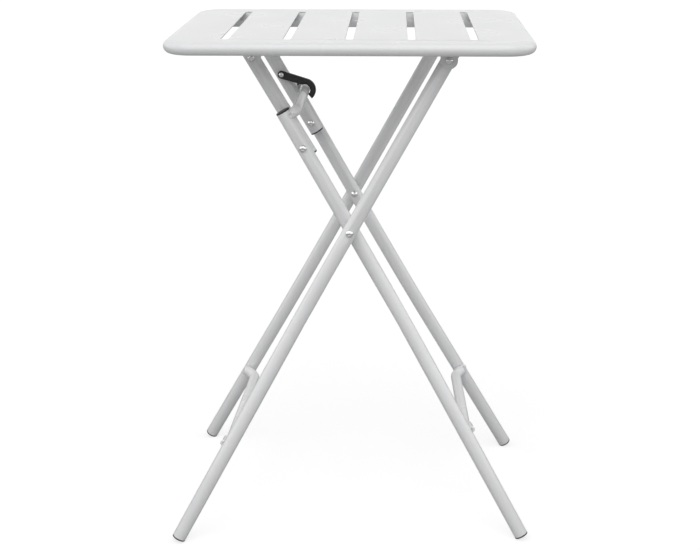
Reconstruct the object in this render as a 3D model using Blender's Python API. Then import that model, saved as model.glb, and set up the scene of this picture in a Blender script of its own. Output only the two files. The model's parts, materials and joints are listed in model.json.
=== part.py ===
"""Folding garden table of white powder-coated steel.

A pressed top with five slots and a rolled rim stands on two crossed frames of round tube.
The outer frame hangs from the top's right side. The inner frame hangs from two links on the left,
and a black hook on the rear link locks links and inner frame in one line.
Metres, +Z up, origin on the floor under the middle of the top. The front is at -Y.
"""

import math

import bmesh
import bpy
from mathutils import Matrix, Vector

# The top, pressed from one sheet
TOP_WIDTH = 0.483
TOP_DEPTH = 0.3675
TABLE_HEIGHT = 0.725
SHEET = 0.0015
RIM_RADIUS = 0.0085
CORNER_RADIUS = 0.040
SLOT_COUNT = 5
SLOT_PITCH = 0.0808
SLOT_WIDTH = 0.0107
SLOT_LENGTH = 0.2956

# Tubes
TUBE_RADIUS = 0.010
TUBE_WALL = 0.0013
WASHER = 0.0006
OUTER_PLANE = 0.1160
BAR_RADIUS = 0.008

# Pivots, seen from the front: distances from the middle of the table and below its top
RIGHT_PIVOT_REACH = 0.1303
RIGHT_PIVOT_DROP = 0.0299
LEFT_PIVOT_REACH = 0.1346
LEFT_PIVOT_DROP = 0.0343
KNEE_REACH = 0.0648
KNEE_DROP = 0.1540
FOOT_SPREAD = 0.2507
FOOT_RISE = 0.0050

# The legs run straight down to BEND_TOP, lean outwards along an arc to BEND_FOOT, then run straight
BEND_TOP = 0.425
BEND_FOOT = 0.221
SPLAY_SLOPE = 0.180

# How far each tube runs past its pivot
RIGHT_OVERRUN = 0.0074
LEFT_OVERRUN = 0.0090
KNEE_OVERRUN = 0.0555
LINK_OVERRUN = 0.0150

# Cross bars
OUTER_BAR_HEIGHT = 0.141
INNER_BAR_HEIGHT = 0.156
OUTER_BAR_REAR_OFFSET = 0.0110
OUTER_BAR_FRONT_OFFSET = 0.0015
INNER_BAR_REAR_OFFSET = 0.0065
INNER_BAR_FRONT_OFFSET = 0.0010
BAR_BEND = 0.0140
BAR_STUB = 0.0095
STOP_BAR_RADIUS = 0.0075
STOP_BAR_ALONG = 0.0482
STOP_BAR_GAP = 0.0006
STOP_BAR_BEND = 0.0084

# Fasteners
BOLT_RADIUS = 0.0030
HOLE_CLEARANCE = 0.0003
HEAD_RADIUS = 0.0052
HEAD_HEIGHT = 0.0030
NUT_HEIGHT = 0.0052
THREAD_REACH = 0.0034
PIN_RADIUS = 0.0022
PIN_HEAD_RADIUS = 0.0037
PIN_HEAD_HEIGHT = 0.0016

# Plastic end caps
CAP_THICKNESS = 0.0018
PLUG_LENGTH = 0.0035

# Rails and ears under the top
RAIL_PLANE = 0.1286
RAIL_DEPTH = 0.0154
RAIL_LIP = 0.0096
RAIL_LEDGE_DROP = 0.0113
RAIL_LENGTH = 0.410
STRIP = 0.0015
EAR = 0.0020
EAR_RADIUS = 0.0115
EAR_TOP_DROP = 0.0135
EAR_FLANGE = 0.016

# Hook latch
HOOK_ALONG = 0.0844
HOOK_THICKNESS = 0.0050
HOOK_PIVOT_RADIUS = 0.0056
HOOK_NOTCH_GAP = 0.0008
HOOK_BAND = 0.0084
HOOK_TIP_ANGLE = math.radians(-50)
HOOK_LOWER_SHARE = 0.86

# One gap keeps every pair of touching pieces apart, and one overrun serves every cut
SEAT_GAP = 0.0003
OVERRUN = 0.004

# Facets
TUBE_SIDES = 20
BAR_SIDES = 16
BOLT_SIDES = 16
CORNER_STEPS = 7
RIM_STEPS = 9
SLOT_STEPS = 6
BEND_STEPS = 6
ELBOW_STEPS = 5
DOME_STEPS = 4
HOOK_STEPS = 14
SMOOTH_ANGLE = math.radians(40)

WHITE = (0.80, 0.80, 0.79, 1.0)
SILVER = (0.62, 0.62, 0.61, 1.0)
BLACK = (0.025, 0.025, 0.027, 1.0)

FRONT_VIEW = {"front": -1, "rear": 1}


def clear_scene():
    for obj in list(bpy.data.objects):
        bpy.data.objects.remove(obj, do_unlink=True)


def material(name, colour, roughness, metallic=0.0):
    made = bpy.data.materials.new(name)
    made.use_nodes = True
    shader = made.node_tree.nodes["Principled BSDF"]
    shader.inputs["Base Color"].default_value = colour
    shader.inputs["Roughness"].default_value = roughness
    shader.inputs["Metallic"].default_value = metallic
    return made


def finish_materials():
    return {
        "coat": material("powder_coat", WHITE, 0.32),
        "steel": material("zinc_steel", SILVER, 0.30, 1.0),
        "plastic": material("black_plastic", BLACK, 0.45),
    }


def object_from(bm, name, finish, pivot=None):
    """Turns a bmesh into an object, with its origin on its pivot."""
    bmesh.ops.recalc_face_normals(bm, faces=bm.faces)
    mesh = bpy.data.meshes.new(name)
    bm.to_mesh(mesh)
    bm.free()
    mesh.materials.append(finish)
    mesh.shade_smooth()
    mesh.set_sharp_from_angle(angle=SMOOTH_ANGLE)
    made = bpy.data.objects.new(name, mesh)
    bpy.context.scene.collection.objects.link(made)
    if pivot is not None:
        mesh.transform(Matrix.Translation(-pivot))
        made.location = pivot
    return made


def side_axes(direction, first):
    """Two unit vectors square to a direction, the first one as near as can be to a given way."""
    across = (first - direction * first.dot(direction)).normalized()
    return across, direction.cross(across)


def ring(bm, centre, across, up, radius, sides):
    points = []
    for i in range(sides):
        angle = 2 * math.pi * i / sides
        points.append(bm.verts.new(centre + (across * math.cos(angle) + up * math.sin(angle)) * radius))
    return points


def bridge(bm, one, other):
    count = len(one)
    for i in range(count):
        j = (i + 1) % count
        bm.faces.new((one[i], one[j], other[j], other[i]))


def path_frames(points, first):
    """For each point of a path: the point, two axes of the section there, and how much a mitre widens it."""
    frames = []
    across = first
    for i, point in enumerate(points):
        before = (point - points[i - 1]).normalized() if i else (points[1] - point).normalized()
        after = (points[i + 1] - point).normalized() if i + 1 < len(points) else before
        direction = (before + after).normalized()
        across, up = side_axes(direction, across)
        frames.append((point, across, up))
    return frames


def tube_mesh(points, radius, sides, first, wall=0.0):
    """A round bar along a path, or a tube with open ends where a wall is given."""
    bm = bmesh.new()
    frames = path_frames(points, first)
    outer = [ring(bm, *frame, radius, sides) for frame in frames]
    for one, other in zip(outer, outer[1:]):
        bridge(bm, one, other)
    if not wall:
        bm.faces.new(outer[0])
        bm.faces.new(outer[-1])
        return bm
    inner = [ring(bm, *frame, radius - wall, sides) for frame in frames]
    for one, other in zip(inner, inner[1:]):
        bridge(bm, one, other)
    bridge(bm, outer[0], inner[0])
    bridge(bm, outer[-1], inner[-1])
    return bm


def turned_mesh(profile, origin, direction, sides, first):
    """A solid turned about an axis. The profile lists radius and height, and starts and ends on the axis."""
    bm = bmesh.new()
    across, up = side_axes(direction, first)
    rows = []
    for radius, height in profile:
        centre = origin + direction * height
        rows.append([bm.verts.new(centre)] if radius == 0 else ring(bm, centre, across, up, radius, sides))
    for one, other in zip(rows, rows[1:]):
        if len(one) == 1 or len(other) == 1:
            tip, loop = (one[0], other) if len(one) == 1 else (other[0], one)
            for i in range(sides):
                bm.faces.new((tip, loop[i], loop[(i + 1) % sides]))
        else:
            bridge(bm, one, other)
    return bm


def extruded_mesh(outline, to_point, thickness):
    """A flat outline given thickness. to_point places an outline point and a share of the thickness."""
    bm = bmesh.new()
    near = [bm.verts.new(to_point(a, b, 0.0)) for a, b in outline]
    far = [bm.verts.new(to_point(a, b, thickness)) for a, b in outline]
    bm.faces.new(near)
    bm.faces.new(far)
    bridge(bm, near, far)
    return bm


def drill(target, centre, direction, radius, length):
    """A through cut by a round cutter centred on a point."""
    cutter_name = "cutter_" + target.name + "_" + str(len(target.modifiers))
    half = direction * (length / 2)
    bm = tube_mesh([centre - half, centre + half], radius, BOLT_SIDES, Vector((0, 0, 1)))
    cutter = object_from(bm, cutter_name, target.data.materials[0])
    cutter.hide_render = True
    cutter.display_type = "WIRE"
    cut = target.modifiers.new("hole", "BOOLEAN")
    cut.operation = "DIFFERENCE"
    cut.solver = "EXACT"
    cut.object = cutter


def rounded_rectangle(width, depth, corner, steps):
    """The corner points of a rounded rectangle, anticlockwise from the right rear corner."""
    points = []
    for number, (sx, sy) in enumerate(((1, 1), (-1, 1), (-1, -1), (1, -1))):
        centre = (sx * (width / 2 - corner), sy * (depth / 2 - corner))
        for i in range(steps + 1):
            angle = math.pi / 2 * (number + i / steps)
            points.append((centre[0] + corner * math.cos(angle), centre[1] + corner * math.sin(angle)))
    return points


def in_plane(pair, y=0.0):
    """A point of the side view, put at a depth."""
    return Vector((pair[0], y, pair[1]))


def unit(start, end):
    """The unit vector from one point of the side view to another, and the one square to it on its left."""
    along = (in_plane(end) - in_plane(start)).normalized()
    return along, Vector((-along.z, 0, along.x))


# Planes of the three tubes on each side, counted from the middle of the table
RIGHT_PIVOT = (RIGHT_PIVOT_REACH, TABLE_HEIGHT - RIGHT_PIVOT_DROP)
LEFT_PIVOT = (-LEFT_PIVOT_REACH, TABLE_HEIGHT - LEFT_PIVOT_DROP)
KNEE = (-KNEE_REACH, TABLE_HEIGHT - KNEE_DROP)
TUBE_STEP = 2 * TUBE_RADIUS + WASHER + 2 * SEAT_GAP
INNER_PLANE = OUTER_PLANE - TUBE_STEP
LINK_PLANE = INNER_PLANE - TUBE_STEP
OUTER_FOOT = (-FOOT_SPREAD, FOOT_RISE)
INNER_FOOT = (FOOT_SPREAD, FOOT_RISE)
HOLE_RADIUS = BOLT_RADIUS + HOLE_CLEARANCE


def crossing():
    """Where the two frames cross in the side view."""
    (x1, z1), (x2, z2) = RIGHT_PIVOT, OUTER_FOOT
    (x3, z3), (x4, z4) = KNEE, INNER_FOOT
    share = ((x3 - x1) * (z3 - z4) - (z3 - z1) * (x3 - x4)) / ((x2 - x1) * (z3 - z4) - (z2 - z1) * (x3 - x4))
    return (x1 + (x2 - x1) * share, z1 + (z2 - z1) * share)


CROSSING = crossing()


def splay(z):
    """How far a leg has leaned outwards at a height."""
    if z >= BEND_TOP:
        return 0.0
    arc = BEND_TOP - BEND_FOOT
    if z >= BEND_FOOT:
        return SPLAY_SLOPE * (BEND_TOP - z) ** 2 / (2 * arc)
    return SPLAY_SLOPE * (arc / 2 + BEND_FOOT - z)


def leg_point(top, foot, plane, side, z):
    share = (top[1] - z) / (top[1] - foot[1])
    x = top[0] + (foot[0] - top[0]) * share
    return Vector((x, side * (plane + splay(z)), z))


def leg_direction(top, foot, plane, side, z):
    """The way a leg runs downwards at a height."""
    step = OVERRUN
    above = leg_point(top, foot, plane, side, z + step)
    return (leg_point(top, foot, plane, side, z - step) - above).normalized()


def foot_height(top, foot, plane, side):
    """The height of a leg's end at its axis, so that the lowest edge of its cap is on the floor."""
    direction = leg_direction(top, foot, plane, side, BEND_FOOT / 2)
    tilt = math.sqrt(1 - direction.z**2)
    return TUBE_RADIUS * tilt + (CAP_THICKNESS + SEAT_GAP) * -direction.z


def leg_path(top, foot, plane, side, overrun):
    start = leg_point(top, foot, plane, side, top[1])
    upwards = -leg_direction(top, foot, plane, side, top[1])
    points = [start + upwards * overrun]
    for i in range(BEND_STEPS + 1):
        z = BEND_TOP + (BEND_FOOT - BEND_TOP) * i / BEND_STEPS
        points.append(leg_point(top, foot, plane, side, z))
    points.append(leg_point(top, foot, plane, side, foot_height(top, foot, plane, side)))
    return points


def end_cap(name, tube_end, direction, finish):
    """A disc over a tube's end with a plug inside the tube."""
    plug = TUBE_RADIUS - TUBE_WALL - SEAT_GAP
    face = CAP_THICKNESS + SEAT_GAP
    profile = [(0, face), (TUBE_RADIUS, face), (TUBE_RADIUS, SEAT_GAP), (plug, SEAT_GAP), (plug, -PLUG_LENGTH)]
    bm = turned_mesh(profile + [(0, -PLUG_LENGTH)], tube_end, direction, TUBE_SIDES, Vector((0, 0, -1)))
    return object_from(bm, name, finish, tube_end)


def dome(radius, height, base=0.0):
    """A domed head's profile, from its rim to its crown."""
    return [
        (radius * math.cos(math.pi / 2 * i / DOME_STEPS), base + height * math.sin(math.pi / 2 * i / DOME_STEPS))
        for i in range(DOME_STEPS)
    ] + [(0, base + height)]


def bolt(name, pair, head_face, tail, side, finish, radius=BOLT_RADIUS, head=HEAD_RADIUS, height=HEAD_HEIGHT):
    """A domed bolt along Y. Its head rests on head_face and its shank ends at tail, as distances from the middle."""
    outwards = Vector((0, side if head_face > tail else -side, 0))
    origin = in_plane(pair, side * head_face)
    length = abs(head_face - tail)
    profile = [(0, -length), (radius, -length), (radius, 0)] + dome(head, height)
    bm = turned_mesh(profile, origin, outwards, BOLT_SIDES, Vector((0, 0, 1)))
    return object_from(bm, name, finish, origin)


def cap_nut(name, pair, face, side, finish):
    """A domed nut that faces the middle of the table, with a blind hole for its bolt."""
    origin = in_plane(pair, side * face)
    depth = THREAD_REACH + SEAT_GAP
    profile = [(0, depth), (HOLE_RADIUS, depth), (HOLE_RADIUS, 0)]
    profile += dome(HEAD_RADIUS, NUT_HEIGHT)
    bm = turned_mesh(profile, origin, Vector((0, -side, 0)), BOLT_SIDES, Vector((0, 0, 1)))
    return object_from(bm, name, finish, origin)


def washer(name, pair, plane, side, finish):
    """A thin ring on a pivot, between the tube in this plane and the next one towards the middle."""
    centre = in_plane(pair, side * (plane - TUBE_STEP / 2))
    half = Vector((0, WASHER / 2, 0))
    wall = HEAD_RADIUS - HOLE_RADIUS
    bm = tube_mesh([centre - half, centre + half], HEAD_RADIUS, BOLT_SIDES, Vector((0, 0, 1)), wall)
    object_from(bm, name, finish, centre)


def top_sheet(finish):
    """The pressed top: a flat field with slots, and a rim rolled down in a half round."""
    bm = bmesh.new()

    def loop(inset, z):
        points = rounded_rectangle(
            TOP_WIDTH - 2 * inset, TOP_DEPTH - 2 * inset, CORNER_RADIUS - inset, CORNER_STEPS
        )
        return [bm.verts.new((x, y, z)) for x, y in points]

    def roll(radius, steps):
        """Insets and heights round the rim, from the flat field to the rim's lower edge."""
        for i in range(steps + 1):
            angle = math.pi / 2 - math.pi * i / steps
            yield RIM_RADIUS - radius * math.cos(angle), TABLE_HEIGHT - RIM_RADIUS + radius * math.sin(angle)

    outside = [loop(*place) for place in roll(RIM_RADIUS, RIM_STEPS)]
    inside = [loop(*place) for place in roll(RIM_RADIUS - SHEET, RIM_STEPS)]
    for rows in (outside, inside):
        for one, other in zip(rows, rows[1:]):
            bridge(bm, one, other)
    bridge(bm, outside[-1], inside[-1])
    faces = {TABLE_HEIGHT: outside[0], TABLE_HEIGHT - SHEET: inside[0]}
    slots = {}
    for z in faces:
        slots[z] = []
        for number in range(SLOT_COUNT):
            x = (number - (SLOT_COUNT - 1) / 2) * SLOT_PITCH
            shape = rounded_rectangle(SLOT_WIDTH, SLOT_LENGTH, SLOT_WIDTH / 2, SLOT_STEPS)
            slots[z].append([bm.verts.new((x + a, b, z)) for a, b in shape])
    upper, lower = slots.values()
    for one, other in zip(upper, lower):
        bridge(bm, one, other)
    bmesh.ops.remove_doubles(bm, verts=bm.verts, dist=SEAT_GAP / 10)
    for z in faces:
        edges = [
            edge
            for edge in bm.edges
            if len(edge.link_faces) == 1 and all(abs(vert.co.z - z) < SEAT_GAP / 10 for vert in edge.verts)
        ]
        bmesh.ops.triangle_fill(bm, edges=edges, use_beauty=True)
    return object_from(bm, "top_sheet", finish)


def rail(name, side, finish):
    """A strip folded in a step: a web up to the sheet, a ledge, and a lip that the ears are welded to."""
    under = TABLE_HEIGHT - SHEET - SEAT_GAP
    ledge = TABLE_HEIGHT - RAIL_LEDGE_DROP
    near, far = RAIL_PLANE, RAIL_PLANE + RAIL_DEPTH
    foot = ledge - RAIL_LIP
    outline = [
        (near, foot),
        (near + STRIP, foot),
        (near + STRIP, ledge - STRIP),
        (far, ledge - STRIP),
        (far, under),
        (far - STRIP, under),
        (far - STRIP, ledge),
        (near, ledge),
    ]
    bm = extruded_mesh(outline, lambda y, z, x: Vector((x - RAIL_LENGTH / 2, side * y, z)), RAIL_LENGTH)
    return object_from(bm, name, finish)


def ear_outline(pair, top):
    """A tab round a pivot, from its round lower end up to a height."""
    points = [(pair[0] + EAR_RADIUS, top), (pair[0] - EAR_RADIUS, top)]
    for i in range(2 * SLOT_STEPS + 1):
        angle = math.pi + math.pi * i / (2 * SLOT_STEPS)
        points.append((pair[0] + EAR_RADIUS * math.cos(angle), pair[1] + EAR_RADIUS * math.sin(angle)))
    return points


def right_ear(name, side, finish):
    """A flat tab on the rail's lip, outside the outer frame's tube."""
    near = RAIL_PLANE - SEAT_GAP - EAR
    outline = ear_outline(RIGHT_PIVOT, TABLE_HEIGHT - EAR_TOP_DROP)
    bm = extruded_mesh(outline, lambda x, z, y: Vector((x, side * (near + y), z)), EAR)
    made = object_from(bm, name, finish)
    drill(made, in_plane(RIGHT_PIVOT, side * near), Vector((0, 1, 0)), HOLE_RADIUS, 4 * EAR)
    return made


def left_ear(name, side, finish):
    """An angle under the sheet: a flange towards the middle and a tab inside the link's tube."""
    far = LINK_PLANE - TUBE_RADIUS - SEAT_GAP
    top = TABLE_HEIGHT - SHEET - SEAT_GAP
    outline = ear_outline(LEFT_PIVOT, top)
    bm = extruded_mesh(outline, lambda x, z, y: Vector((x, side * (far - y), z)), EAR)
    left, right = LEFT_PIVOT[0] - EAR_RADIUS, LEFT_PIVOT[0] + EAR_RADIUS
    made = object_from(bm, name, finish)
    flange = [(far, top), (far, top - EAR), (far - EAR_FLANGE, top - EAR), (far - EAR_FLANGE, top)]
    place = lambda y, z, x: Vector((left + x, side * y, z))
    helper = object_from(extruded_mesh(flange, place, right - left), "cutter_" + name, finish)
    helper.hide_render = True
    helper.display_type = "WIRE"
    join = made.modifiers.new("flange", "BOOLEAN")
    join.operation = "UNION"
    join.solver = "EXACT"
    join.object = helper
    drill(made, in_plane(LEFT_PIVOT, side * far), Vector((0, 1, 0)), HOLE_RADIUS, 4 * EAR)
    return made


def leg_tube(name, top, foot, plane, side, overrun, holes, finish):
    path = leg_path(top, foot, plane, side, overrun)
    bm = tube_mesh(path, TUBE_RADIUS, TUBE_SIDES, Vector((0, 1, 0)), TUBE_WALL)
    made = object_from(bm, name, finish, in_plane(CROSSING, side * plane))
    for pair in holes:
        drill(made, in_plane(pair, side * plane), Vector((0, 1, 0)), HOLE_RADIUS, 3 * TUBE_RADIUS)
    return made, path


def frame_legs(kind, top, foot, plane, overrun, holes, finishes):
    """Both legs of a frame with their caps. Returns nothing, because each piece is its own object."""
    for name, side in FRONT_VIEW.items():
        _, path = leg_tube(f"{kind}_leg_{name}", top, foot, plane, side, overrun, holes, finishes["coat"])
        end_cap(f"{kind}_top_cap_{name}", path[0], (path[0] - path[1]).normalized(), finishes["plastic"])
        end_cap(f"{kind}_foot_cap_{name}", path[-1], (path[-1] - path[-2]).normalized(), finishes["plastic"])


def elbow(corner, start, end, radius):
    """Points round a bend whose two straight runs would meet at corner."""
    centre = corner + (start + end) * radius
    points = []
    for i in range(ELBOW_STEPS + 1):
        angle = math.pi / 2 * i / ELBOW_STEPS
        points.append(centre - end * (radius * math.cos(angle)) - start * (radius * math.sin(angle)))
    return points


def mirrored(points):
    return points + [Vector((p.x, -p.y, p.z)) for p in reversed(points)]


def bar_end(seat, across, offset, side):
    """A bar's end: a stub over the leg's inner face, then a bend towards the middle of the table."""
    bend = min(BAR_BEND, offset + BAR_STUB)
    start = seat - across * BAR_STUB
    curve = elbow(seat + across * offset, -across, Vector((0, -side, 0)), bend)
    return ([start] if (curve[0] - start).length > SEAT_GAP else []) + curve


def lower_bar(name, top, foot, plane, height, offsets, finish):
    """A bar whose ends turn to lie across the legs' inner faces. Its rear end stands further in than its front."""
    ends = []
    for side, offset in zip((1, -1), offsets):
        centre = leg_point(top, foot, plane, side, height)
        down = leg_direction(top, foot, plane, side, height)
        across = Vector((-down.z, 0, down.x)).normalized()
        across = across if across.x * foot[0] < 0 else -across
        face = across.cross(down).normalized()
        face = face if face.y * side < 0 else -face
        seat = centre + face * (TUBE_RADIUS + BAR_RADIUS + SEAT_GAP)
        ends.append(bar_end(seat, across, offset, side))
    bm = tube_mesh(ends[0] + ends[1][::-1], BAR_RADIUS, BAR_SIDES, Vector((0, 0, 1)))
    return object_from(bm, name, finish, in_plane(CROSSING))


def stop_bar_centre():
    """The middle of the stop bar in the side view: beside the links, above the knee."""
    along, left = unit(KNEE, LEFT_PIVOT)
    offset = TUBE_RADIUS + STOP_BAR_RADIUS + STOP_BAR_GAP
    place = in_plane(KNEE) + along * STOP_BAR_ALONG - left * offset
    return (place.x, place.z)


def stop_bar(finish):
    """The bar between the inner frame's upper ends. It stops the links, and its ends are coped to the tubes."""
    along, left = unit(INNER_FOOT, KNEE)
    away = -left
    centre = in_plane(stop_bar_centre())
    base = centre - away * (centre - in_plane(KNEE)).dot(away)
    corner = centre + Vector((0, INNER_PLANE, 0))
    points = [base + Vector((0, INNER_PLANE, 0))] + elbow(corner, -away, Vector((0, -1, 0)), STOP_BAR_BEND)
    bm = tube_mesh(mirrored(points), STOP_BAR_RADIUS, BAR_SIDES, along)
    made = object_from(bm, "inner_stop_bar", finish, in_plane(KNEE))
    for side in FRONT_VIEW.values():
        drill(made, base + Vector((0, side * INNER_PLANE, 0)), along, TUBE_RADIUS + SEAT_GAP, 6 * TUBE_RADIUS)
    return made


def link(name, side, finishes):
    """A link tube from the top's left pivot past the knee, with its two caps."""
    along, _ = unit(LEFT_PIVOT, KNEE)
    upper = in_plane(LEFT_PIVOT, side * LINK_PLANE) - along * LEFT_OVERRUN
    lower = in_plane(KNEE, side * LINK_PLANE) + along * LINK_OVERRUN
    bm = tube_mesh([upper, lower], TUBE_RADIUS, TUBE_SIDES, Vector((0, 1, 0)), TUBE_WALL)
    made = object_from(bm, f"link_{name}", finishes["coat"], in_plane(LEFT_PIVOT, side * LINK_PLANE))
    for pair in (LEFT_PIVOT, KNEE):
        drill(made, in_plane(pair, side * LINK_PLANE), Vector((0, 1, 0)), HOLE_RADIUS, 3 * TUBE_RADIUS)
    end_cap(f"link_top_cap_{name}", upper, -along, finishes["plastic"])
    end_cap(f"link_end_cap_{name}", lower, along, finishes["plastic"])
    return made


def hook_pivot():
    along, _ = unit(KNEE, LEFT_PIVOT)
    place = in_plane(KNEE) + along * HOOK_ALONG
    return (place.x, place.z)


def hook_outline():
    """The hook seen from the front: a round eye, a straight arm and a claw round the stop bar."""
    eye = Vector(hook_pivot())
    bar = Vector(stop_bar_centre())
    inner = STOP_BAR_RADIUS + HOOK_NOTCH_GAP
    outer = inner + HOOK_BAND
    reach = bar - eye
    heading = math.atan2(reach.y, reach.x)
    lean = math.asin((outer - HOOK_PIVOT_RADIUS) / reach.length)
    upper = heading + lean + math.pi / 2

    def arc(centre, radius, start, end, steps):
        return [
            (
                centre.x + radius * math.cos(start + (end - start) * i / steps),
                centre.y + radius * math.sin(start + (end - start) * i / steps),
            )
            for i in range(steps + 1)
        ]

    line_height = inner * (1 - HOOK_LOWER_SHARE) * 4
    lower = math.asin(min(1.0, line_height / inner))
    notch_end = heading + math.pi - lower
    points = arc(bar, outer, upper, HOOK_TIP_ANGLE, HOOK_STEPS)
    points += arc(bar, inner, HOOK_TIP_ANGLE, notch_end, HOOK_STEPS)
    foot = Vector(points[-1]) - eye
    eye_lower = math.atan2(foot.y, foot.x) - math.acos(HOOK_PIVOT_RADIUS / foot.length)
    points += arc(eye, HOOK_PIVOT_RADIUS, eye_lower, upper - 2 * math.pi, HOOK_STEPS)
    return points


def hook(finish):
    """The hook lies flat on the rear link's inner face, a seat gap off it."""
    far = LINK_PLANE - TUBE_RADIUS - SEAT_GAP
    bm = extruded_mesh(hook_outline(), lambda x, z, y: Vector((x, far - y, z)), HOOK_THICKNESS)
    pivot = in_plane(hook_pivot(), far - HOOK_THICKNESS / 2)
    made = object_from(bm, "hook_latch", finish, pivot)
    drill(made, pivot, Vector((0, 1, 0)), PIN_RADIUS + HOLE_CLEARANCE, 3 * HOOK_THICKNESS)
    return made


def top_group(finishes):
    top_sheet(finishes["coat"])
    for name, side in FRONT_VIEW.items():
        rail(f"rail_{name}", side, finishes["coat"])
        right_ear(f"right_ear_{name}", side, finishes["coat"])
        left_ear(f"left_ear_{name}", side, finishes["coat"])
        face = OUTER_PLANE - TUBE_RADIUS - SEAT_GAP
        bolt(f"right_bolt_{name}", RIGHT_PIVOT, RAIL_PLANE, face - THREAD_REACH, side, finishes["steel"])
        cap_nut(f"right_nut_{name}", RIGHT_PIVOT, face, side, finishes["steel"])


def link_group(finishes):
    far = LINK_PLANE - TUBE_RADIUS - 2 * SEAT_GAP - EAR
    for name, side in FRONT_VIEW.items():
        link(name, side, finishes)
        head = LINK_PLANE + TUBE_RADIUS + SEAT_GAP
        bolt(f"left_bolt_{name}", LEFT_PIVOT, head, far - THREAD_REACH, side, finishes["steel"])
        cap_nut(f"left_nut_{name}", LEFT_PIVOT, far, side, finishes["steel"])
        stud_face = LINK_PLANE - TUBE_RADIUS - SEAT_GAP
        stud_end = LINK_PLANE + TUBE_RADIUS
        bolt(f"knee_stud_{name}", KNEE, stud_face, stud_end, side, finishes["steel"])
    face = LINK_PLANE - TUBE_RADIUS - 2 * SEAT_GAP - HOOK_THICKNESS
    tail = LINK_PLANE - TUBE_RADIUS - SEAT_GAP
    sizes = {"radius": PIN_RADIUS, "head": PIN_HEAD_RADIUS, "height": PIN_HEAD_HEIGHT}
    bolt("hook_pin", hook_pivot(), face, tail, FRONT_VIEW["rear"], finishes["steel"], **sizes)
    hook(finishes["plastic"])


def inner_group(finishes):
    kind = ("inner", KNEE, INNER_FOOT, INNER_PLANE, KNEE_OVERRUN, (KNEE, CROSSING))
    frame_legs(*kind, finishes)
    offsets = (INNER_BAR_REAR_OFFSET, INNER_BAR_FRONT_OFFSET)
    lower_bar("inner_bar", KNEE, INNER_FOOT, INNER_PLANE, INNER_BAR_HEIGHT, offsets, finishes["coat"])
    stop_bar(finishes["coat"])
    for name, side in FRONT_VIEW.items():
        head = INNER_PLANE + TUBE_RADIUS + SEAT_GAP
        tail = INNER_PLANE - TUBE_RADIUS
        bolt(f"knee_bolt_{name}", KNEE, head, tail, side, finishes["steel"])
        washer(f"knee_washer_{name}", KNEE, INNER_PLANE, side, finishes["steel"])


def outer_group(finishes):
    kind = ("outer", RIGHT_PIVOT, OUTER_FOOT, OUTER_PLANE, RIGHT_OVERRUN, (RIGHT_PIVOT, CROSSING))
    frame_legs(*kind, finishes)
    offsets = (OUTER_BAR_REAR_OFFSET, OUTER_BAR_FRONT_OFFSET)
    lower_bar("outer_bar", RIGHT_PIVOT, OUTER_FOOT, OUTER_PLANE, OUTER_BAR_HEIGHT, offsets, finishes["coat"])
    for name, side in FRONT_VIEW.items():
        head = OUTER_PLANE + TUBE_RADIUS + SEAT_GAP
        face = INNER_PLANE - TUBE_RADIUS - SEAT_GAP
        bolt(f"cross_bolt_{name}", CROSSING, head, face - THREAD_REACH, side, finishes["steel"])
        cap_nut(f"cross_nut_{name}", CROSSING, face, side, finishes["steel"])
        washer(f"cross_washer_{name}", CROSSING, OUTER_PLANE, side, finishes["steel"])


def build():
    clear_scene()
    finishes = finish_materials()
    top_group(finishes)
    link_group(finishes)
    inner_group(finishes)
    outer_group(finishes)


build()
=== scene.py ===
import json
import math

import bmesh
import bpy
from mathutils import Matrix, Vector


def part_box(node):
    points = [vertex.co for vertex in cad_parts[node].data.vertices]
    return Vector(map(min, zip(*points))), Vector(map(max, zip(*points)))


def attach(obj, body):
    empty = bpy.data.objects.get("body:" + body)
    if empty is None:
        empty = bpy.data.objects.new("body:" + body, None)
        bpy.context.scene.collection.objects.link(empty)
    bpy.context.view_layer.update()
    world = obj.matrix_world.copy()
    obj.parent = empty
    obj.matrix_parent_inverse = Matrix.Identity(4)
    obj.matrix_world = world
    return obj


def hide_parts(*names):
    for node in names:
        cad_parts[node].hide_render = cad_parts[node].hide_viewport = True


# Looks for a folding garden table of white powder-coated tube with a slotted, pressed top.
# Metres, +Z up, the front at -Y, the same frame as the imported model.

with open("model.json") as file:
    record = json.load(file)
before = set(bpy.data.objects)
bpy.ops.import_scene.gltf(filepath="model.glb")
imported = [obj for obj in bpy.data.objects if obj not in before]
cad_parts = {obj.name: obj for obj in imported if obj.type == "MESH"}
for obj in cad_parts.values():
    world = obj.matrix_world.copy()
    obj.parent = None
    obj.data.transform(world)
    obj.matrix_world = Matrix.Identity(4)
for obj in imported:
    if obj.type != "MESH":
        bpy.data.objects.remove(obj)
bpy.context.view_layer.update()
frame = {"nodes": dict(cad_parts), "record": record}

# The camera that was fitted to the photograph
CAMERA_PLACE = (0.0589, -1.7516, 0.9538)
CAMERA_PITCH = 0.33011
CAMERA_YAW = 0.03024
CAMERA_ROLL = -0.00121
CAMERA_LENS = 63.63
CAMERA_SHIFT = (-0.01057, 0.00086)

# Pressed top
SHEET = 0.0015
RIM_RADIUS = 0.0085
CORNER_RADIUS = 0.040
CORNER_SEGMENTS = 16
RIM_SEGMENTS = 9
FLAT_EDGE = 0.0006
SLOT_COUNT = 5
SLOT_PITCH = 0.0808
SLOT_WIDTH = 0.0107
SLOT_LENGTH = 0.2956
SLOT_EDGE = 0.0005
SLOT_SIDES = 32
SLOT_EDGE_STEPS = 3
CUTTER_HEIGHT = 8 * SHEET
NEAR = SHEET / 10
SAME_POINT = SHEET / 50

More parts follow.
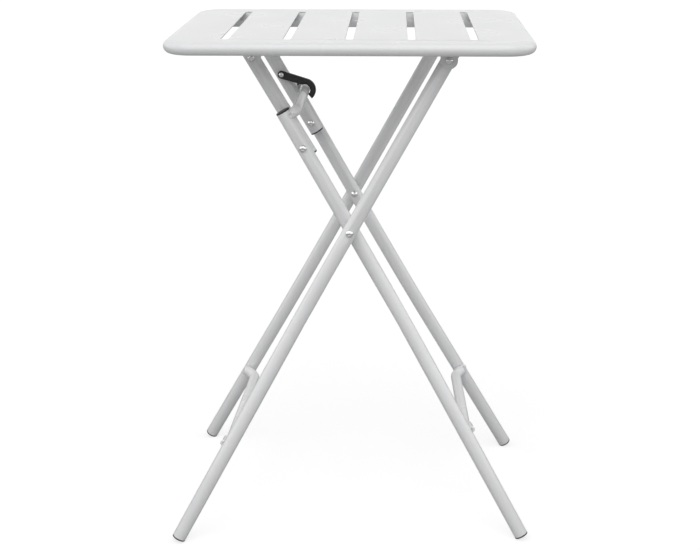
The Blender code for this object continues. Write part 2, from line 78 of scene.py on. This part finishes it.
# Rounding of small edges
STRIP_EDGE = 0.0004
HOOK_EDGE = 0.0009
CAP_EDGE = 0.0005
TUBE_EDGE = 0.0003
BOLT_EDGE = 0.0002
SMOOTH_ANGLE = math.radians(35)
HOOK_ANGLE = math.radians(50)
HOOK_EDGE_STEPS = 3
FLAT_ANGLE = math.radians(0.5)
MERGE_SHARE = 1 / 200

# Hex sockets in the bolt heads, and weld beads that join the ends of the bars to the legs
SOCKET_RADIUS = 0.0021
SOCKET_DEPTH = 0.0013
BEAD_RADIUS = 0.0018
BEAD_RING = 0.0036
BEAD_DROPS = 14
BEAD_VOXEL = 0.0005
BEAD_SIZE_SHARES = (0.94, 1.12)
DROP_SEGMENTS = 12
DROP_RINGS = 8
BEAD_MELT = 0.5
BEAD_MELT_STEPS = 4
CONTACT_DEPTH = 0.0006

# The part of a noise's range that a finish uses
NOISE_MIDDLE = (0.3, 0.7)

# Lamps
KEY_STRENGTH = 1.50
KEY_ANGLE = math.radians(70)
KEY_TILT = (math.radians(42), 0, math.radians(-8))
FILL_STRENGTH = 0.10
FILL_ANGLE = math.radians(70)
FILL_TILT = (math.radians(62), 0, math.radians(38))
SIDE_ANGLE = math.radians(60)
RIGHT_STRENGTH = 0.70
RIGHT_TILT = (0, math.radians(72), 0)
LEFT_STRENGTH = 0.60
LEFT_TILT = (0, math.radians(-72), 0)
SKY_LEVEL = 0.34
FLOOR_SHADE = 0.42
FLOOR_LIFT = 0.68

FLOOR_SIZE = 60
SIDES = {"front": -1, "rear": 1}


def deselect():
    bpy.ops.object.select_all(action="DESELECT")


def made_piece(name):
    """Names what a primitive operator has just added."""
    piece = bpy.context.active_object
    piece.name = name
    piece.data.name = name
    return piece


def only(piece):
    deselect()
    piece.select_set(True)
    bpy.context.view_layer.objects.active = piece


def edit(piece):
    only(piece)
    bpy.ops.object.mode_set(mode="EDIT")
    bpy.ops.mesh.select_all(action="DESELECT")


def done():
    bpy.ops.object.mode_set(mode="OBJECT")


def pick_edges(piece, test):
    """Selects the edges of the mesh in edit mode that pass a test."""
    bpy.ops.mesh.select_mode(type="EDGE")
    shape = bmesh.from_edit_mesh(piece.data)
    for edge in shape.edges:
        edge.select_set(test(edge))
    bmesh.update_edit_mesh(piece.data)


def pick_verts(piece, test):
    bpy.ops.mesh.select_mode(type="VERT")
    shape = bmesh.from_edit_mesh(piece.data)
    for vert in shape.verts:
        vert.select_set(test(vert.co))
    shape.select_flush_mode()
    bmesh.update_edit_mesh(piece.data)


def apply_modifier(piece, kind, **settings):
    modifier = piece.modifiers.new(kind.lower(), kind)
    for key, value in settings.items():
        setattr(modifier, key, value)
    only(piece)
    bpy.ops.object.modifier_apply(modifier=modifier.name)


def smooth(piece, angle=SMOOTH_ANGLE):
    only(piece)
    bpy.ops.object.shade_smooth_by_angle(angle=angle)


def join(name, pieces):
    deselect()
    for piece in pieces:
        piece.select_set(True)
    bpy.context.view_layer.objects.active = pieces[0]
    bpy.ops.object.join()
    return made_piece(name)


def finish_piece(piece, material, body, replaced=None):
    """Dresses a finished piece, ties it to its body and hides the node it stands for."""
    piece.data.materials.clear()
    piece.data.materials.append(material)
    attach(piece, body)
    if replaced:
        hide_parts(replaced)


def node_of(tree, kind, **values):
    node = tree.nodes.new(kind)
    for key, value in values.items():
        if key in node.inputs:
            node.inputs[key].default_value = value
        else:
            setattr(node, key, value)
    return node


def noise(tree, scale, detail=2.0, roughness=0.5):
    """A noise in the piece's own coordinates, in metres."""
    place = node_of(tree, "ShaderNodeTexCoord")
    made = node_of(tree, "ShaderNodeTexNoise", Scale=scale, Detail=detail, Roughness=roughness)
    tree.links.new(place.outputs["Object"], made.inputs["Vector"])
    return made.outputs["Fac"]


def spread(tree, value, low, high):
    """Maps the middle of a noise to a range of numbers."""
    made = node_of(tree, "ShaderNodeMapRange")
    made.inputs["From Min"].default_value = NOISE_MIDDLE[0]
    made.inputs["From Max"].default_value = NOISE_MIDDLE[1]
    made.inputs["To Min"].default_value = low
    made.inputs["To Max"].default_value = high
    tree.links.new(value, made.inputs["Value"])
    return made.outputs["Result"]


def tints(tree, value, low, high):
    """Maps the middle of a noise to a range of colours."""
    ramp = node_of(tree, "ShaderNodeValToRGB")
    ramp.color_ramp.elements[0].position = NOISE_MIDDLE[0]
    ramp.color_ramp.elements[0].color = (*low, 1)
    ramp.color_ramp.elements[1].position = NOISE_MIDDLE[1]
    ramp.color_ramp.elements[1].color = (*high, 1)
    tree.links.new(value, ramp.inputs["Fac"])
    return ramp.outputs["Color"]


def bump(tree, height, distance, strength):
    made = node_of(tree, "ShaderNodeBump", Strength=strength, Distance=distance)
    tree.links.new(height, made.inputs["Height"])
    return made.outputs["Normal"]


def new_material(name):
    made = bpy.data.materials.new(name)
    made.use_nodes = True
    tree = made.node_tree
    return made, tree, tree.nodes["Principled BSDF"]


def powder_coat():
    """Gloss white powder coat, with slow waves in its colour and in its gloss."""
    made, tree, shader = new_material("white powder coat")
    colour = tints(tree, noise(tree, 9, 0), (0.790, 0.796, 0.802), (0.810, 0.814, 0.818))
    tree.links.new(colour, shader.inputs["Base Color"])
    tree.links.new(spread(tree, noise(tree, 14, 0), 0.27, 0.33), shader.inputs["Roughness"])
    shader.inputs["Coat Weight"].default_value = 0.25
    shader.inputs["Coat Roughness"].default_value = 0.12
    return made


def zinc_plate():
    """Bright zinc on bolts, nuts and washers, with cloudy spangle and fine tool marks."""
    made, tree, shader = new_material("bright zinc")
    colour = tints(tree, noise(tree, 900, 3), (0.70, 0.70, 0.70), (0.88, 0.88, 0.87))
    tree.links.new(colour, shader.inputs["Base Color"])
    tree.links.new(spread(tree, noise(tree, 1500, 2), 0.14, 0.26), shader.inputs["Roughness"])
    tree.links.new(bump(tree, noise(tree, 2600, 2), 0.00005, 0.25), shader.inputs["Normal"])
    shader.inputs["Metallic"].default_value = 1.0
    return made


def black_plastic():
    """Moulded black plastic with a fine grain and slightly greyed high spots."""
    made, tree, shader = new_material("black plastic")
    colour = tints(tree, noise(tree, 300, 3), (0.030, 0.030, 0.032), (0.046, 0.046, 0.048))
    tree.links.new(colour, shader.inputs["Base Color"])
    tree.links.new(spread(tree, noise(tree, 800, 2), 0.38, 0.52), shader.inputs["Roughness"])
    tree.links.new(bump(tree, noise(tree, 2200, 2), 0.00006, 0.35), shader.inputs["Normal"])
    shader.inputs["Specular IOR Level"].default_value = 0.25
    return made


FINISHES = {"powder_coat": powder_coat(), "zinc_steel": zinc_plate(), "black_plastic": black_plastic()}
SLOT_OF = {part["node"]: part["material_slot"] for part in frame["record"]["subparts"]}
BODY_OF = {node: body for body, nodes in frame["record"]["behaviour"]["bodies"].items() for node in nodes}


def coat_nodes():
    """Gives every carried-over node its finish."""
    for name, node in frame["nodes"].items():
        finish = FINISHES[SLOT_OF[name]]
        if not node.material_slots:
            node.data.materials.append(finish)
        for place in node.material_slots:
            place.material = finish


def half_rim(name, low, high, middle, direction):
    """A rounded plate inset in steps along a quarter circle, upwards or downwards from the rim's middle."""
    deselect()
    bpy.ops.mesh.primitive_plane_add(size=1, location=(0, 0, 0))
    plate = made_piece(name)
    edit(plate)
    bpy.ops.mesh.select_all(action="SELECT")
    bpy.ops.transform.resize(value=(high.x - low.x, high.y - low.y, 1))
    bpy.ops.transform.translate(value=(0, 0, middle))
    bpy.ops.mesh.bevel(offset=CORNER_RADIUS, segments=CORNER_SEGMENTS, affect="VERTICES")
    bpy.ops.mesh.select_mode(type="FACE")
    bpy.ops.mesh.select_all(action="SELECT")
    before = (0.0, 0.0)
    for step in range(1, RIM_SEGMENTS + 1):
        turn = math.pi / 2 * step / RIM_SEGMENTS
        now = (RIM_RADIUS * (1 - math.cos(turn)), RIM_RADIUS * math.sin(turn))
        bpy.ops.mesh.inset(thickness=now[0] - before[0], depth=direction * (now[1] - before[1]))
        before = now
    if direction > 0:
        bpy.ops.mesh.inset(thickness=FLAT_EDGE, depth=0)
    else:
        bpy.ops.mesh.delete(type="ONLY_FACE")
    done()
    return plate


def slot_cutter(x, height):
    """A long round-ended block that cuts one slot."""
    deselect()
    bpy.ops.mesh.primitive_cylinder_add(
        vertices=SLOT_SIDES, radius=SLOT_WIDTH / 2, depth=CUTTER_HEIGHT, location=(0, 0, 0)
    )
    block = made_piece("slot cutter")
    reach = (SLOT_LENGTH - SLOT_WIDTH) / 2
    edit(block)
    pick_verts(block, lambda place: place.y > NEAR)
    bpy.ops.transform.translate(value=(0, reach, 0))
    pick_verts(block, lambda place: place.y < -NEAR)
    bpy.ops.transform.translate(value=(0, -reach, 0))
    bpy.ops.mesh.select_all(action="SELECT")
    bpy.ops.transform.translate(value=(x, 0, height))
    done()
    return block


def on_slot_edge(edge, height):
    """Whether an edge is a slot's upper edge."""
    for vert in edge.verts:
        place = vert.co
        if abs(place.z - height) > NEAR or abs(place.y) > SLOT_LENGTH / 2 + NEAR:
            return False
        slot = round(place.x / SLOT_PITCH)
        if abs(place.x - slot * SLOT_PITCH) > SLOT_WIDTH / 2 + NEAR or abs(slot) > SLOT_COUNT // 2:
            return False
    return len(edge.link_faces) == 2 and edge.calc_face_angle(0) > SMOOTH_ANGLE


def pressed_top():
    """The top: a flat field, five slots with softened edges, and a rim rolled right round under it."""
    low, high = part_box("top_sheet")
    middle = high.z - RIM_RADIUS
    halves = [
        half_rim("pressed_top", low, high, middle, 1),
        half_rim("lower rim", low, high, middle, -1),
    ]
    top = join("pressed_top", halves)
    edit(top)
    bpy.ops.mesh.select_all(action="SELECT")
    bpy.ops.mesh.remove_doubles(threshold=SAME_POINT)
    bpy.ops.mesh.normals_make_consistent(inside=False)
    done()
    apply_modifier(top, "SOLIDIFY", thickness=SHEET, offset=-1, use_even_offset=True)
    middle_slot = (SLOT_COUNT - 1) / 2
    cutters = [slot_cutter((i - middle_slot) * SLOT_PITCH, high.z) for i in range(SLOT_COUNT)]
    cutter = join("slot cutters", cutters)
    apply_modifier(top, "BOOLEAN", operation="DIFFERENCE", solver="EXACT", object=cutter)
    bpy.data.objects.remove(cutter)
    edit(top)
    pick_edges(top, lambda edge: on_slot_edge(edge, high.z))
    bpy.ops.mesh.bevel(offset=SLOT_EDGE, segments=SLOT_EDGE_STEPS)
    done()
    smooth(top)
    finish_piece(top, FINISHES["powder_coat"], "top", "top_sheet")


def softened(node, name, width, segments=2, angle=SMOOTH_ANGLE):
    """A copy of a node with its sharp edges rounded, in the node's place."""
    only(frame["nodes"][node])
    bpy.ops.object.duplicate()
    piece = made_piece(name)
    for key in list(piece.keys()):
        del piece[key]
    edit(piece)
    bpy.ops.mesh.select_all(action="SELECT")
    bpy.ops.mesh.remove_doubles(threshold=width * MERGE_SHARE)
    bpy.ops.mesh.dissolve_limited(angle_limit=FLAT_ANGLE)
    done()
    apply_modifier(
        piece, "BEVEL", width=width, segments=segments, limit_method="ANGLE", angle_limit=angle,
        use_clamp_overlap=True, harden_normals=False,
    )
    smooth(piece)
    slot = SLOT_OF[node]
    finish_piece(piece, FINISHES[slot], BODY_OF[node], node)
    return piece


def cut_socket(piece, crown_towards):
    """Cuts a hexagonal socket into a bolt's head, whose crown faces +Y or -Y."""
    low, high = piece_box(piece)
    crown = high.y if crown_towards > 0 else low.y
    deselect()
    bpy.ops.mesh.primitive_cylinder_add(
        vertices=6, radius=SOCKET_RADIUS, depth=2 * SOCKET_DEPTH, rotation=(math.pi / 2, 0, 0),
        location=((low.x + high.x) / 2, crown, (low.z + high.z) / 2),
    )
    key = made_piece("hex key")
    apply_modifier(piece, "BOOLEAN", operation="DIFFERENCE", solver="EXACT", object=key)
    bpy.data.objects.remove(key)
    smooth(piece)


def piece_box(piece):
    places = [piece.matrix_world @ vert.co for vert in piece.data.vertices]
    low = Vector([min(place[i] for place in places) for i in range(3)])
    high = Vector([max(place[i] for place in places) for i in range(3)])
    return low, high


def contact(node, side):
    """The place on a bar's end that faces the leg: the middle of its outermost points along Y."""
    shape = frame["nodes"][node]
    places = [shape.matrix_world @ vert.co for vert in shape.data.vertices]
    reach = max(side * place.y for place in places)
    near = [place for place in places if side * place.y > reach - CONTACT_DEPTH]
    return sum(near, Vector()) / len(near)


def weld_bead(name, node, side):
    """A ring of overlapping drops, melted into one bead. It bridges the gap from the bar's end to the leg."""
    centre = contact(node, side)
    drops = []
    for i in range(BEAD_DROPS):
        turn = 2 * math.pi * i / BEAD_DROPS
        size = BEAD_RADIUS * BEAD_SIZE_SHARES[i % 2]
        place = centre + Vector((math.cos(turn), 0, math.sin(turn))) * BEAD_RING
        deselect()
        bpy.ops.mesh.primitive_uv_sphere_add(
            segments=DROP_SEGMENTS, ring_count=DROP_RINGS, radius=size, location=place
        )
        drops.append(made_piece("drop"))
    bead = join(name, drops)
    only(bead)
    bpy.ops.object.transform_apply(location=True, rotation=True, scale=True)
    apply_modifier(bead, "REMESH", mode="VOXEL", voxel_size=BEAD_VOXEL)
    apply_modifier(bead, "SMOOTH", factor=BEAD_MELT, iterations=BEAD_MELT_STEPS)
    smooth(bead, math.pi)
    finish_piece(bead, FINISHES["powder_coat"], BODY_OF[node])


def detail_tubes_and_bolts():
    """Rounds the tubes' ends, cuts sockets into the bolts and welds the bars to the legs."""
    for bar in ("outer_bar", "inner_bar", "inner_stop_bar"):
        softened(bar, f"{bar}_bent", TUBE_EDGE)
    for name, side in SIDES.items():
        for tube in ("outer_leg", "inner_leg", "link"):
            softened(f"{tube}_{name}", f"{tube}_tube_{name}", TUBE_EDGE)
        for kind in ("right_bolt", "left_bolt", "cross_bolt", "knee_bolt"):
            head = softened(f"{kind}_{name}", f"{kind}_socket_{name}", BOLT_EDGE)
            cut_socket(head, side)
        cut_socket(softened(f"knee_stud_{name}", f"knee_stud_socket_{name}", BOLT_EDGE), -side)
        for bar in ("outer_bar", "inner_bar", "inner_stop_bar"):
            weld_bead(f"{bar}_weld_{name}", bar, side)


def soften_small_pieces():
    softened("hook_latch", "hook", HOOK_EDGE, HOOK_EDGE_STEPS, HOOK_ANGLE)
    for side in SIDES:
        for ear in ("left_ear", "right_ear"):
            softened(f"{ear}_{side}", f"{ear}_plate_{side}", STRIP_EDGE)
        softened(f"rail_{side}", f"folded_rail_{side}", STRIP_EDGE)
        for kind in ("outer_foot", "inner_foot", "outer_top", "inner_top", "link_top", "link_end"):
            softened(f"{kind}_cap_{side}", f"{kind}_plug_{side}", CAP_EDGE)


def floor():
    """A pale floor that turns white to the camera and keeps the table's soft shadow."""
    deselect()
    bpy.ops.mesh.primitive_plane_add(size=FLOOR_SIZE, location=(0, 0, 0))
    ground = made_piece("studio floor")
    made = bpy.data.materials.new("studio floor")
    made.use_nodes = True
    tree = made.node_tree
    tree.nodes.clear()
    matt = node_of(tree, "ShaderNodeBsdfDiffuse", Color=(FLOOR_SHADE, FLOOR_SHADE, FLOOR_SHADE, 1))
    lift = node_of(tree, "ShaderNodeEmission", Color=(1, 1, 1, 1))
    path = node_of(tree, "ShaderNodeLightPath")
    seen = node_of(tree, "ShaderNodeMath", operation="MAXIMUM")
    tree.links.new(path.outputs["Is Camera Ray"], seen.inputs[0])
    tree.links.new(path.outputs["Is Transmission Ray"], seen.inputs[1])
    level = node_of(tree, "ShaderNodeMath", operation="MULTIPLY")
    level.inputs[1].default_value = FLOOR_LIFT
    tree.links.new(seen.outputs[0], level.inputs[0])
    tree.links.new(level.outputs[0], lift.inputs["Strength"])
    both = node_of(tree, "ShaderNodeAddShader")
    tree.links.new(matt.outputs[0], both.inputs[0])
    tree.links.new(lift.outputs[0], both.inputs[1])
    out = node_of(tree, "ShaderNodeOutputMaterial")
    tree.links.new(both.outputs[0], out.inputs["Surface"])
    ground.data.materials.append(made)


def sky():
    """White to the camera, in glossy reflections and through glass, and a plain grey light otherwise."""
    world = bpy.data.worlds.new("studio")
    bpy.context.scene.world = world
    world.use_nodes = True
    tree = world.node_tree
    back = tree.nodes["Background"]
    back.inputs["Color"].default_value = (1, 1, 1, 1)
    path = node_of(tree, "ShaderNodeLightPath")
    first = node_of(tree, "ShaderNodeMath", operation="MAXIMUM")
    tree.links.new(path.outputs["Is Camera Ray"], first.inputs[0])
    tree.links.new(path.outputs["Is Transmission Ray"], first.inputs[1])
    seen = node_of(tree, "ShaderNodeMath", operation="MAXIMUM")
    tree.links.new(first.outputs[0], seen.inputs[0])
    tree.links.new(path.outputs["Is Glossy Ray"], seen.inputs[1])
    level = node_of(tree, "ShaderNodeMapRange")
    level.inputs["To Min"].default_value = SKY_LEVEL
    level.inputs["To Max"].default_value = 1.0
    tree.links.new(seen.outputs[0], level.inputs["Value"])
    tree.links.new(level.outputs["Result"], back.inputs["Strength"])


def lamp(name, strength, angle, tilt):
    deselect()
    bpy.ops.object.light_add(type="SUN", location=(0, 0, 3), rotation=tilt)
    made = bpy.context.active_object
    made.name = name
    made.data.energy = strength
    made.data.angle = angle


def camera():
    deselect()
    bpy.ops.object.camera_add(location=CAMERA_PLACE)
    made = bpy.context.active_object
    made.name = "photo camera"
    turn = Matrix.Rotation(CAMERA_YAW, 4, "Z") @ Matrix.Rotation(math.pi / 2 - CAMERA_PITCH, 4, "X")
    turn = turn @ Matrix.Rotation(CAMERA_ROLL, 4, "Z")
    made.matrix_world = Matrix.Translation(Vector(CAMERA_PLACE)) @ turn
    made.data.lens = CAMERA_LENS
    made.data.sensor_width = 36
    made.data.shift_x, made.data.shift_y = CAMERA_SHIFT
    bpy.context.scene.camera = made


camera()
lamp("key softbox", KEY_STRENGTH, KEY_ANGLE, KEY_TILT)
lamp("fill softbox", FILL_STRENGTH, FILL_ANGLE, FILL_TILT)
lamp("right softbox", RIGHT_STRENGTH, SIDE_ANGLE, RIGHT_TILT)
lamp("left softbox", LEFT_STRENGTH, SIDE_ANGLE, LEFT_TILT)
sky()
floor()
coat_nodes()
pressed_top()
soften_small_pieces()
detail_tubes_and_bolts()

bpy.context.scene.view_settings.view_transform = "Standard"
